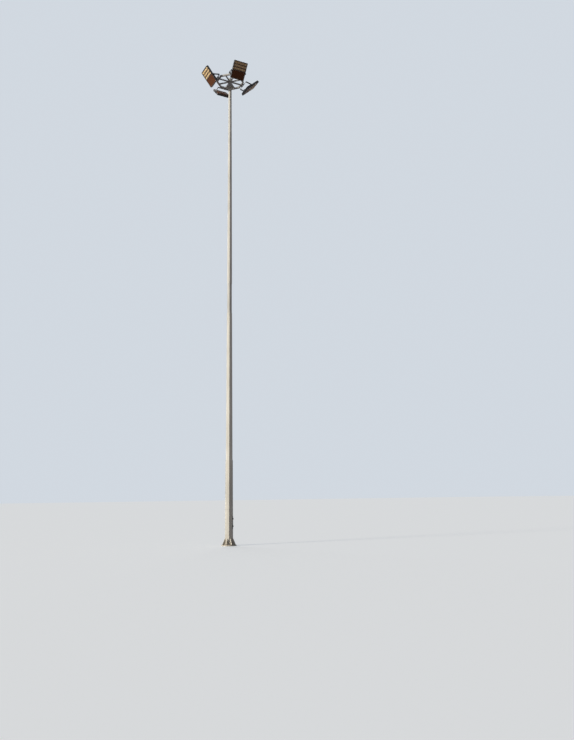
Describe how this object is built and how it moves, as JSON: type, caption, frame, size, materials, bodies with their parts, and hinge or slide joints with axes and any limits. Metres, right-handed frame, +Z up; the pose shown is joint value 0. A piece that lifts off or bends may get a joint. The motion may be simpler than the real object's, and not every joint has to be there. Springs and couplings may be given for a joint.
{
  "type": "high mast floodlight tower",
  "caption": "Tall tapered octagonal steel mast on a bolted flange, with a spoked crown ring at the top that carries tilting floodlights on yokes and a hinged service door near the base.",
  "frame": {"origin": "centre of the base flange's underside, on the foundation", "axes": "+Z up along the mast; the four lamps stand off along +X, +Y, -X and -Y; the service door faces between +X and -Y"},
  "size_m": [2.1704, 2.1757, 17.5157],
  "materials": {
    "galvanized_steel": "matt hot-dip galvanized, faintly mottled",
    "yoke_steel": "dark satin powder coat",
    "dark_paint": "dark satin paint",
    "zinc_bolt": "zinc plated",
    "lamp_housing": "black satin powder coat on cast aluminium",
    "heat_sink": "dark anodized extrusion",
    "lens": "clear lens plate over warm white emitters",
    "knob_plastic": "black moulded knobs on steel bolts"
  },
  "bodies": {
    "mast": {"base_flange": "galvanized_steel", "base_gussets": "galvanized_steel", "mast_door_section": "galvanized_steel", "mast_base_section": "galvanized_steel", "mast_lower_section": "galvanized_steel", "mast_splice_sleeve": "galvanized_steel", "mast_upper_section": "galvanized_steel", "mast_head_flange": "galvanized_steel", "mast_cap": "galvanized_steel", "door_frame": "galvanized_steel", "door_hinge_lugs": "galvanized_steel", "crown_hub": "galvanized_steel", "crown_ring": "galvanized_steel", "crown_spokes": "galvanized_steel", "lamp_brackets": "galvanized_steel", "yoke_east": "yoke_steel", "yoke_north": "yoke_steel", "yoke_west": "yoke_steel", "yoke_south": "yoke_steel"},
    "service_door": {"service_door": "dark_paint"},
    "lamp_east": {"lamp_frame_east": "lamp_housing", "lamp_modules_east": "heat_sink", "lamp_lenses_east": "lens", "lamp_driver_east": "lamp_housing", "lamp_knobs_east": "knob_plastic"},
    "lamp_north": {"lamp_frame_north": "lamp_housing", "lamp_modules_north": "heat_sink", "lamp_lenses_north": "lens", "lamp_driver_north": "lamp_housing", "lamp_knobs_north": "knob_plastic"},
    "lamp_west": {"lamp_frame_west": "lamp_housing", "lamp_modules_west": "heat_sink", "lamp_lenses_west": "lens", "lamp_driver_west": "lamp_housing", "lamp_knobs_west": "knob_plastic"},
    "lamp_south": {"lamp_frame_south": "lamp_housing", "lamp_modules_south": "heat_sink", "lamp_lenses_south": "lens", "lamp_driver_south": "lamp_housing", "lamp_knobs_south": "knob_plastic"}
  },
  "joints": [
    {"name": "service_door_hinge", "type": "hinge", "parent": "mast", "child": "service_door", "pos_m": [0.13032, -0.06881, 0.77], "axis": [0, 0, 1], "range_deg": [0, 110]},
    {"name": "lamp_east_tilt", "type": "hinge", "parent": "mast", "child": "lamp_east", "pos_m": [0.79753, 0, 17.2049], "axis": [0, 1, 0], "range_deg": [-39, 36]},
    {"name": "lamp_north_tilt", "type": "hinge", "parent": "mast", "child": "lamp_north", "pos_m": [0, 0.79753, 17.2049], "axis": [-1, 0, 0], "range_deg": [-38, 37]},
    {"name": "lamp_west_tilt", "type": "hinge", "parent": "mast", "child": "lamp_west", "pos_m": [-0.79753, 0, 17.2049], "axis": [0, -1, 0], "range_deg": [-30, 45]},
    {"name": "lamp_south_tilt", "type": "hinge", "parent": "mast", "child": "lamp_south", "pos_m": [0, -0.79753, 17.2049], "axis": [1, 0, 0], "range_deg": [-32, 43]}
  ]
}
